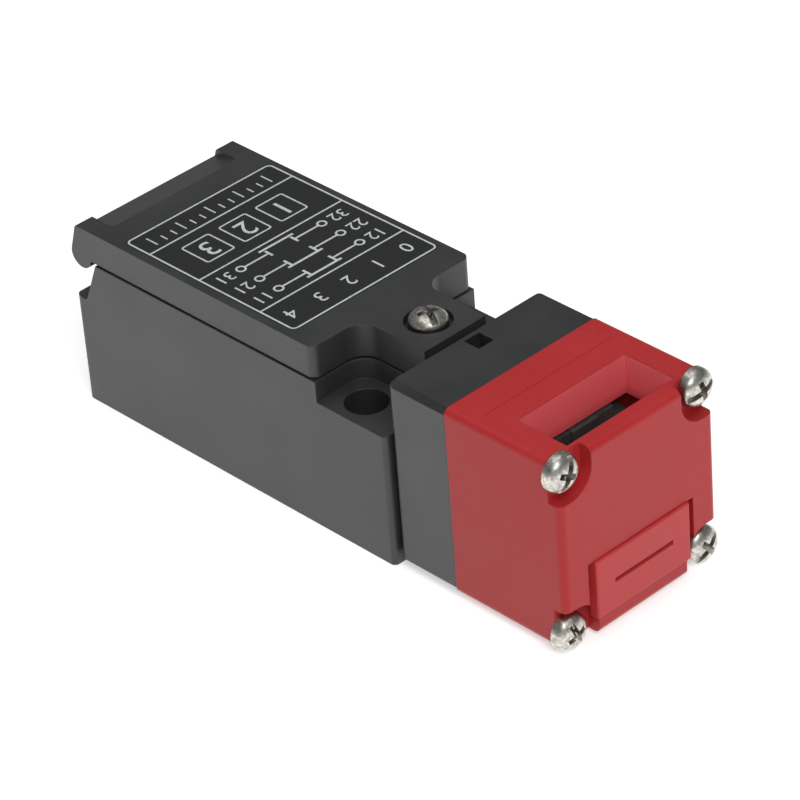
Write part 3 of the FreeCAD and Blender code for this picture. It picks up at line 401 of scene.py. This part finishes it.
def plated_steel(name, colour, roughness, streak_mm=0.8, dull=0.8):
    """Plated steel: bright, with fine handling marks that are dull by a share of its colour."""
    material, tree, place, shader = start_material(name)
    marks = add_node(tree, "TexNoise", {"Vector": place, "Scale": per_metre(streak_mm), "Detail": 5.0})
    tone = add_node(tree, "ValToRGB", {"Fac": marks.outputs["Fac"]})
    tone.color_ramp.elements[0].position, tone.color_ramp.elements[1].position = 0.3, 0.7
    tone.color_ramp.elements[0].color = [dull * c for c in hex_colour(colour)[:3]] + [1.0]
    tone.color_ramp.elements[1].color = hex_colour(colour)
    shine = add_node(tree, "MapRange", {"Value": marks.outputs["Fac"], "From Min": 0.3, "From Max": 0.7,
                                        "To Min": roughness + 0.08, "To Max": roughness - 0.05})
    soft_edge = add_node(tree, "Bevel", {"Radius": 0.12 * MM}, samples=6)
    bump = add_node(tree, "Bump", {"Strength": 1.0, "Distance": 0.0015 * MM, "Height": marks.outputs["Fac"],
                                   "Normal": soft_edge.outputs[0]})
    feed(tree, shader, Base_Color=tone.outputs["Color"], Roughness=shine.outputs["Result"],
         Normal=bump.outputs["Normal"], Metallic=1.0)
    return material


nickel_plate = plated_steel("nickel-plated steel", "cbc8c0", 0.34, 0.5, 0.42)


def recess_cutter(width, depth, angle, top, taper):
    """One bar of a driver recess, narrower at its foot, ready to cut from a head."""
    clear_selection()
    bpy.ops.mesh.primitive_cube_add(size=1, location=(0, 0, top - depth / 2 + 0.5 * MM))
    bar = bpy.context.object
    bar.scale = (width[0], width[1], depth + 1.0 * MM)
    bpy.ops.object.transform_apply(location=True, rotation=True, scale=True)
    select_faces(bar, lambda centre, normal: normal.z < -0.9)
    bpy.ops.transform.resize(value=(taper, taper, 1))
    bpy.ops.object.mode_set(mode="OBJECT")
    bar.rotation_euler = (0, 0, angle)
    bpy.ops.object.transform_apply(location=True, rotation=True, scale=True)
    return bar


def carve(obj, tool, operation="DIFFERENCE"):
    """Cut a tool from a piece, or keep only what lies inside it, and remove the tool."""
    cut = obj.modifiers.new("carve", "BOOLEAN")
    cut.operation = operation
    cut.solver = "EXACT"
    cut.object = tool
    clear_selection()
    obj.select_set(True)
    bpy.context.view_layer.objects.active = obj
    bpy.ops.object.modifier_apply(modifier=cut.name)
    bpy.data.objects.remove(tool, do_unlink=True)


def cross_screw(head_radius, head_height, shank_radius, shank_length, slotted=True):
    """Pan-head screw standing on the origin, head up, with a cross recess and a slot."""
    clear_selection()
    rim = 0.3 * head_height
    bpy.ops.mesh.primitive_cylinder_add(vertices=48, radius=head_radius, depth=rim, location=(0, 0, rim / 2))
    screw = bpy.context.object
    bpy.ops.object.transform_apply(location=True, rotation=True, scale=True)
    select_faces(screw, lambda centre, normal: normal.z > 0.9)
    for ring in range(7):
        start, end = math.radians(12 * ring), math.radians(12 * (ring + 1))
        bpy.ops.mesh.inset(thickness=0.9 * head_radius * (math.cos(start) - math.cos(end)),
                           depth=(head_height - rim) * (math.sin(end) - math.sin(start)))
    select_faces(screw, lambda centre, normal: normal.z < -0.9)
    bpy.ops.mesh.inset(thickness=head_radius - shank_radius, depth=0)
    bpy.ops.mesh.extrude_region_move(TRANSFORM_OT_translate={"value": (0, 0, -shank_length)})
    bpy.ops.object.mode_set(mode="OBJECT")
    cut = 0.4 * head_radius
    cutters = [recess_cutter((cut, 1.45 * head_radius), 0.75 * head_height, angle, head_height, 0.45)
               for angle in (0, math.pi / 2)]
    if slotted:
        cutters.append(recess_cutter((0.85 * cut, 2.2 * head_radius), 0.42 * head_height, 0, head_height, 1.0))
    for cutter in cutters:
        carve(screw, cutter)
    return screw


def copy_of(obj):
    """A copy of a piece with its own mesh."""
    clear_selection()
    obj.select_set(True)
    bpy.context.view_layer.objects.active = obj
    bpy.ops.object.duplicate(linked=False)
    return bpy.context.object


screws_low, screws_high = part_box("head_screws")
head_radius = 2.8 * MM
head_height = 2.3 * MM
left, right = screws_low.x + head_radius, screws_high.x - head_radius
lower, upper = screws_low.z + head_radius, screws_high.z - head_radius
shank_length = screws_high.y - screws_low.y - head_height
head_screw_shank = 1.45 * MM
model_screw = cross_screw(head_radius, head_height, head_screw_shank, shank_length)
turns = [25, 75, -20, 50]
for place, (x, z) in enumerate([(left, upper), (right, upper), (left, lower), (right, lower)]):
    screw = copy_of(model_screw)
    screw.rotation_euler = (math.pi / 2, math.radians(turns[place]), 0)
    screw.location = (x, screws_low.y + head_height, z)
    settle(screw, f"head_screw_{place + 1}", nickel_plate, "housing", 32)
    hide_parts("head_screws")
bpy.data.objects.remove(model_screw, do_unlink=True)

cover_screw_low, cover_screw_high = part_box("cover_screw")
cover_screw_head = 2.1 * MM
cover_screw_radius, cover_screw_shank = 2.8 * MM, 1.4 * MM
cover_screw = cross_screw(cover_screw_radius, cover_screw_head, cover_screw_shank,
                          cover_screw_high.z - cover_screw_low.z - cover_screw_head)
cover_screw.rotation_euler = (0, 0, math.radians(-20))
cover_screw.location = (0, (cover_screw_low.y + cover_screw_high.y) / 2, cover_screw_high.z - cover_screw_head)
settle(cover_screw, "cover_screw_plated", nickel_plate, "cover", 32)
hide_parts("cover_screw")

# --- Head base ------------------------------------------------------------------------
# A black nylon block between the case and the key head, held to the case by two screws
# with a rubber ring between. It has a smoother skin than the case.

base_nylon = moulded_plastic("black nylon", "252627", "313233", 0.3, 0.004, 0.46, 0.2, 0.5, 8.0)
dress(base_nylon, "head_base")
zinc_plate = plated_steel("zinc-plated steel", "b9b9b4", 0.34)
dress(zinc_plate, "base_screws", "block_screws", "clamp_washers")

# --- Key head -------------------------------------------------------------------------
# The head is moulded in red glass-filled nylon with a satin skin, and so is the plug that
# snaps into its end slot. Edges are rounded in the shading, so they catch light. The funnel's walls
# are drawn a lighter pink than the head: painted sheen, standing in for the light they reflect.

red_nylon = moulded_plastic("red glass-filled nylon", "b4282a", "bd3032", 0.35, 0.005, 0.42, 0.22, 0.25, 9.0)
plug_nylon = moulded_plastic("red nylon, plug", "c53c3e", "cd4446", 0.35, 0.005, 0.42, 0.15, 0.25, 9.0)
dress(red_nylon, "head_housing")
dress(plug_nylon, "slot_plug")


def block(x_range, y_range, z_range):
    """A plain box between two planes each way."""
    clear_selection()
    bpy.ops.mesh.primitive_cube_add(size=1, location=(sum(x_range) / 2, sum(y_range) / 2, sum(z_range) / 2))
    made = bpy.context.object
    made.scale = (x_range[1] - x_range[0], y_range[1] - y_range[0], z_range[1] - z_range[0])
    bpy.ops.object.transform_apply(location=True, rotation=True, scale=True)
    return made


# The funnel's four walls slope down to a straight mouth, which guides the key to the cam
head_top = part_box("head_housing")[1].z
funnel_half_x, funnel_front, funnel_back = 9.95 * MM, -44.5 * MM, -35.7 * MM
lean, slope_depth, wall_gap = 1.65 * MM, 3.1 * MM, 0.02 * MM
walls_depth, rim_drop = 4.5 * MM, 0.05 * MM
walls = block((-funnel_half_x + wall_gap, funnel_half_x - wall_gap),
              (funnel_front + wall_gap, funnel_back - wall_gap),
              (head_top - walls_depth, head_top - rim_drop))
mouth = block((-funnel_half_x + lean, funnel_half_x - lean), (funnel_front + lean, funnel_back - lean),
              (head_top - 6 * MM, head_top + 1 * MM))
carve(walls, mouth)
funnel = block((-funnel_half_x, funnel_half_x), (funnel_front, funnel_back), (head_top - slope_depth, head_top))
select_faces(funnel, lambda centre, normal: normal.z < -0.9)
bpy.ops.transform.resize(value=(1 - lean / funnel_half_x, 1 - 2 * lean / (funnel_back - funnel_front), 1),
                         center_override=(0, (funnel_front + funnel_back) / 2, 0))
bpy.ops.object.mode_set(mode="OBJECT")
carve(walls, funnel)
# The funnel walls' lighter, pinker red is painted sheen, standing in for the light that the walls reflect.
funnel_red_painted_sheen = moulded_plastic("red nylon with painted sheen", "cf5055", "d6575c", 0.35, 0.004, 0.38, 0.12, 0.4, 6.0)
settle(walls, "funnel_walls", funnel_red_painted_sheen, "housing", 30)

# A hair-high ridge across the top, where two mould inserts meet
ridge_height = 0.04 * MM
ridge = block((-12.2 * MM, 11.8 * MM), (-31.74 * MM, -31.6 * MM), (head_top - 0.1 * MM, head_top + ridge_height))
settle(ridge, "insert_ridge", red_nylon, "housing")

# --- Cam and its pin ------------------------------------------------------------------
# The cam is black acetal, slippery, on a ground stainless pin. Its black is drawn mid-grey: painted light for
# the highlights on the cam's band.

# The acetal's mid-grey base is painted light, lifted to the brightness of the lit cam band; the plunger and
# slider share it.
black_acetal = moulded_plastic("black acetal", "3a3b3b", "4e4f4f", 0.4, 0.004, 0.44, 0.12)
dress(black_acetal, "operating_cam", "head_plunger", "contact_slider")
stainless = plated_steel("ground stainless steel", "c2c0bc", 0.2)
dress(stainless, "cam_pin")

# Wide shoulders fill the chamber beside the cam's middle and turn with it
cam_y, cam_z = -34.8 * MM, 15.45 * MM
shoulder_radius, shoulder_bore = 7.2 * MM, 1.6 * MM
shoulder_front, shoulder_drop = 2.7 * MM, 0.6 * MM
past = 1 * MM


def across(radius, x_range):
    """A round bar along X on the cam's axis."""
    clear_selection()
    bpy.ops.mesh.primitive_cylinder_add(vertices=96, radius=radius, depth=x_range[1] - x_range[0],
                                        location=(sum(x_range) / 2, cam_y, cam_z), rotation=(0, math.pi / 2, 0))
    bpy.ops.object.transform_apply(location=True, rotation=True, scale=True)
    return bpy.context.object


for side, x_range in (("left", (-9.2 * MM, -5.72 * MM)), ("right", (5.72 * MM, 9.2 * MM))):
    wider = (x_range[0] - past, x_range[1] + past)
    reach = shoulder_radius + 1.8 * MM
    shoulder = across(shoulder_radius, x_range)
    carve(shoulder, across(shoulder_bore, wider))
    keep = block(wider, (cam_y - shoulder_front, cam_y + reach), (cam_z - shoulder_drop, cam_z + reach))
    carve(shoulder, keep, "INTERSECT")
    settle(shoulder, f"cam_shoulder_{side}", black_acetal, "operating_cam", 30)

# --- Springs --------------------------------------------------------------------------
# Compression springs in hard-drawn stainless wire: one pushes the plunger at the cam, one
# returns the contact slider, and a small one presses each contact bridge.

spring_wire = plated_steel("drawn stainless wire", "a9a8a4", 0.3, 0.3)


def wound_spring(node, wire_radius, turns, body, steps=24):
    """A round-wire spring along Y in the room that its CAD node takes."""
    low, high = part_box(node)
    mean_radius = (high.x - low.x) / 2 - wire_radius
    length = high.y - low.y - 2 * wire_radius
    spring = helix(mean_radius, wire_radius, length / turns, turns, 10, steps)
    lay_along_y(spring, (low.x + high.x) / 2, low.y + wire_radius, (low.z + high.z) / 2)
    settle(spring, node + "_wire", spring_wire, body, 60)
    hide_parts(node)
    return spring


for level in (1, 2, 3):
    wound_spring(f"contact_spring_{level}", 0.15 * MM, 3, "slider")


def stretch_between(spring):
    """Bake the spring's place into its mesh; the spring is attached to no body."""
    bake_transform(spring)


plunger_spring = wound_spring("plunger_spring", 0.3 * MM, 4, None)
stretch_between(plunger_spring)
slider_spring = wound_spring("slider_spring", 0.3 * MM, 5, None)
stretch_between(slider_spring)

# --- Contact block --------------------------------------------------------------------
# The block and its lid are moulded in grey-black polyamide, which stands heat from the
# contacts. It has a dull, dry skin.

block_polyamide = moulded_plastic("grey polyamide", "46484a", "505254", 0.3, 0.005, 0.55, 0.12)
dress(block_polyamide, "contact_block", "block_lid")

# --- Contacts and terminals -----------------------------------------------------------
# Bridges are stamped copper alloy and terminals are stamped brass. Silver tips are
# riveted on. The terminal screws are zinc-plated and the cover screw's insert is brass.

brass = plated_steel("rolled brass", "d0a963", 0.3)
copper_alloy = plated_steel("rolled copper alloy", "c98a63", 0.3)
silver = plated_steel("contact silver", "dcdad4", 0.28)
terminal_names = [f"terminal_{level}{end}" for level in (1, 2, 3) for end in (1, 2)]
dress(brass, "threaded_insert", *terminal_names)
dress(copper_alloy, *[f"contact_bridge_{level}" for level in (1, 2, 3)])
dress(silver, "moving_tips", "fixed_tips")

terminal_low, terminal_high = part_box("terminal_screws")
terminal_head = 2.7 * MM
terminal_head_height = 1.8 * MM
model_screw = cross_screw(terminal_head, terminal_head_height, 1.5 * MM,
                          terminal_high.z - terminal_low.z - terminal_head_height)
row_start, row_end = terminal_low.y + terminal_head, terminal_high.y - terminal_head
for row in range(3):
    for side, x in ((1, terminal_low.x + terminal_head), (2, terminal_high.x - terminal_head)):
        screw = copy_of(model_screw)
        screw.rotation_euler = (0, 0, math.radians(40 * row + 25 * side))
        screw.location = (x, row_start + (row_end - row_start) * row / 2, terminal_high.z - terminal_head_height)
        settle(screw, f"terminal_screw_{row + 1}{side}", zinc_plate, "housing", 32)
        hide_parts("terminal_screws")
bpy.data.objects.remove(model_screw, do_unlink=True)

# --- Floor, light and camera ----------------------------------------------------------
# A white studio table under a large soft light from the upper left, with a weaker one
# from the head's side, and an even pale surround.

clear_selection()
bpy.ops.mesh.primitive_plane_add(size=6, location=(0, 0, -0.02 * MM))
floor = bpy.context.object
floor.name = "studio_floor"
white_table, tree, place, shader = start_material("white table")
speckle = add_node(tree, "TexNoise", {"Vector": place, "Scale": per_metre(4.0)})
table_tone = add_node(tree, "MapRange", {"Value": speckle.outputs["Fac"], "To Min": 0.86, "To Max": 0.88})
path = add_node(tree, "LightPath")
glow = add_node(tree, "Math", {0: path.outputs["Is Camera Ray"], 1: 0.5, 2: path.outputs["Is Glossy Ray"]},
                operation="MULTIPLY_ADD")
feed(tree, shader, Base_Color=table_tone.outputs["Result"], Roughness=0.8, Specular_IOR_Level=0.0,
     Emission_Color=(1.0, 1.0, 1.0, 1.0), Emission_Strength=glow.outputs[0])
floor.data.materials.append(white_table)

world = bpy.data.worlds.new("studio surround")
bpy.context.scene.world = world
world.use_nodes = True
tree = world.node_tree
tree.nodes.clear()
path = add_node(tree, "LightPath")
not_seen = add_node(tree, "Background", {"Color": (1.0, 1.0, 1.0, 1.0), "Strength": 0.24})
seen_white = add_node(tree, "Background", {"Color": (1.0, 1.0, 1.0, 1.0), "Strength": 1.0})
mixed = add_node(tree, "MixShader", {0: path.outputs["Is Camera Ray"], 1: not_seen.outputs[0],
                                     2: seen_white.outputs[0]})
add_node(tree, "OutputWorld", {"Surface": mixed.outputs[0]})


def soft_light(name, place, aim, size, power):
    """A square soft box that faces a point."""
    lamp = bpy.data.lights.new(name, "AREA")
    lamp.size = size
    lamp.energy = power
    holder = bpy.data.objects.new(name, lamp)
    bpy.context.collection.objects.link(holder)
    holder.location = place
    holder.rotation_euler = (Vector(aim) - Vector(place)).to_track_quat("-Z", "Y").to_euler()
    return holder


middle = (0.0, 0.0, 0.015)
soft_light("key light", (-0.3, -0.6, 0.72), middle, 0.5, 4.3)
soft_light("top light", (0.05, 0.1, 0.9), middle, 0.7, 2.5)

camera_place = Vector((-317.99, -360.51, 337.09)) * MM
camera_aim = Vector((6.53, 5.11, 6.77)) * MM
camera_roll = math.radians(-4.63)
camera_data = bpy.data.cameras.new("camera")
camera_data.lens = 190.73
camera_data.clip_start = 0.02
camera = bpy.data.objects.new("camera", camera_data)
bpy.context.collection.objects.link(camera)
camera.location = camera_place
aim = (camera_aim - camera_place).to_track_quat("-Z", "Y").to_matrix().to_4x4()
camera.rotation_mode = "QUATERNION"
camera.rotation_quaternion = aim.to_quaternion() @ Quaternion((0, 0, 1), camera_roll)
bpy.context.scene.camera = camera

bpy.context.scene.view_settings.view_transform = "Standard"
